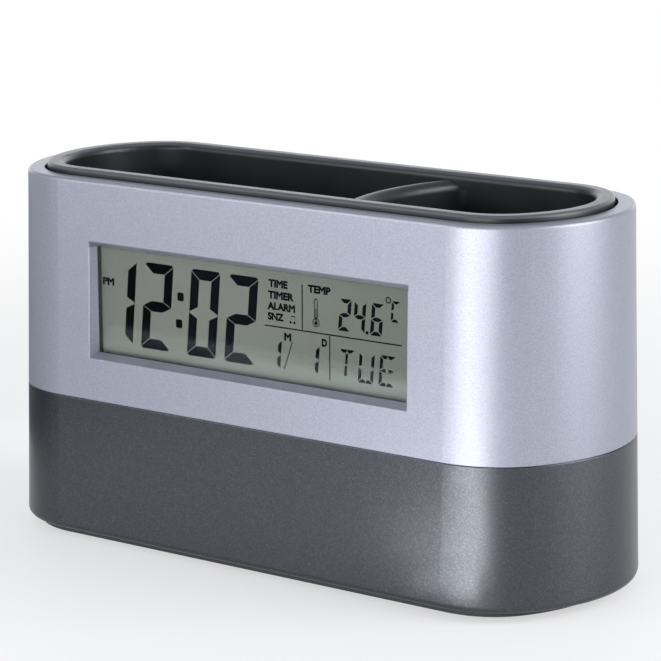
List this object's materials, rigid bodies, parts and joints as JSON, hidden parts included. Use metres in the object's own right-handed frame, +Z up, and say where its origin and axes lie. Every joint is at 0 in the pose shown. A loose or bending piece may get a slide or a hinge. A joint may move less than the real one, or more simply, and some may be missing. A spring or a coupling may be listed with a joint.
{
  "type": "pen holder clock",
  "caption": "Desk pen holder with rounded ends, an open two-compartment cup in a two-tone shell, and a digital clock display in the front wall.",
  "frame": {"origin": "middle of the footprint on the floor, under the rubber feet", "axes": "+Z up; the display faces -Y; +X to the right as seen from the display side, along the length"},
  "size_m": [0.1614, 0.0628, 0.0889],
  "materials": {
    "silver_shell": "satin silver-blue metallic paint on ABS",
    "grey_shell": "satin dark grey metallic paint on ABS",
    "black_plastic": "fine-textured black moulding",
    "base_plastic": "fine-textured black moulding",
    "button_plastic": "smooth black moulding",
    "clear_lens": "clear acrylic",
    "polarizer_film": "clear film",
    "display_glass": "clear display glass",
    "display_ink": "dark liquid crystal segments",
    "seal_resin": "epoxy seal",
    "reflector_film": "grey-green reflector film",
    "white_plastic": "white moulding",
    "ribbon_film": "heat-seal ribbon",
    "circuit_board": "green circuit board",
    "black_resin": "black epoxy",
    "plated_can": "plated can",
    "ceramic_chip": "fired ceramic",
    "capacitor_sleeve": "shrunk sleeve",
    "buzzer_brass": "rolled brass",
    "buzzer_white": "silvered ceramic",
    "cell_wrap": "printed metal jacket",
    "plated_spring": "nickel-plated spring strip",
    "red_wire": "insulated lead",
    "black_wire": "insulated lead",
    "grey_ribbon": "flat cable",
    "screw_steel": "zinc-plated steel",
    "foot_rubber": "soft rubber"
  },
  "bodies": {
    "casing": {"upper_housing": "silver_shell", "lower_housing": "grey_shell", "pen_cup": "black_plastic", "bottom_cover": "base_plastic", "foot_front_left": "foot_rubber", "foot_front_right": "foot_rubber", "foot_rear_left": "foot_rubber", "foot_rear_right": "foot_rubber", "window_lens": "clear_lens", "front_polarizer": "polarizer_film", "front_glass": "display_glass", "lcd_segments": "display_ink", "lcd_seal": "seal_resin", "rear_glass": "display_glass", "lcd_reflector": "reflector_film", "lcd_holder": "white_plastic", "lcd_ribbon": "ribbon_film", "main_board": "circuit_board", "clock_chip": "black_resin", "quartz_crystal": "plated_can", "timing_capacitors": "ceramic_chip", "filter_capacitor": "capacitor_sleeve", "chip_resistors": "black_resin", "key_board": "circuit_board", "thermistor": "black_resin", "mode_switch": "black_resin", "set_switch": "black_resin", "up_switch": "black_resin", "down_switch": "black_resin", "buzzer_disc": "buzzer_brass", "buzzer_ceramic": "buzzer_white", "battery_cell_front": "cell_wrap", "battery_cell_rear": "cell_wrap", "positive_contact": "plated_spring", "spring_contact": "plated_spring", "bridge_contact": "plated_spring", "battery_lead_red": "red_wire", "battery_lead_black": "black_wire", "buzzer_lead_red": "red_wire", "buzzer_lead_black": "black_wire", "key_ribbon": "grey_ribbon", "base_screws": "screw_steel", "board_screws": "screw_steel", "key_board_screws": "screw_steel", "holder_screws": "screw_steel"},
    "battery_door": {"battery_door": "base_plastic"},
    "mode_button": {"mode_button": "button_plastic", "mode_plunger": "white_plastic"},
    "set_button": {"set_button": "button_plastic", "set_plunger": "white_plastic"},
    "up_button": {"up_button": "button_plastic", "up_plunger": "white_plastic"},
    "down_button": {"down_button": "button_plastic", "down_plunger": "white_plastic"}
  },
  "joints": [
    {"name": "battery_door_slide", "type": "slide", "parent": "casing", "child": "battery_door", "axis": [0, 1, 0], "range_m": [0, 0.03]},
    {"name": "mode_button_press", "type": "slide", "parent": "casing", "child": "mode_button", "axis": [0, -1, 0], "range_m": [0, 0.0005], "stiffness_N_per_m": 1500, "springref_m": -0.0002},
    {"name": "set_button_press", "type": "slide", "parent": "casing", "child": "set_button", "axis": [0, -1, 0], "range_m": [0, 0.0005], "stiffness_N_per_m": 1500, "springref_m": -0.0002},
    {"name": "up_button_press", "type": "slide", "parent": "casing", "child": "up_button", "axis": [0, -1, 0], "range_m": [0, 0.0005], "stiffness_N_per_m": 1500, "springref_m": -0.0002},
    {"name": "down_button_press", "type": "slide", "parent": "casing", "child": "down_button", "axis": [0, -1, 0], "range_m": [0, 0.0005], "stiffness_N_per_m": 1500, "springref_m": -0.0002}
  ]
}
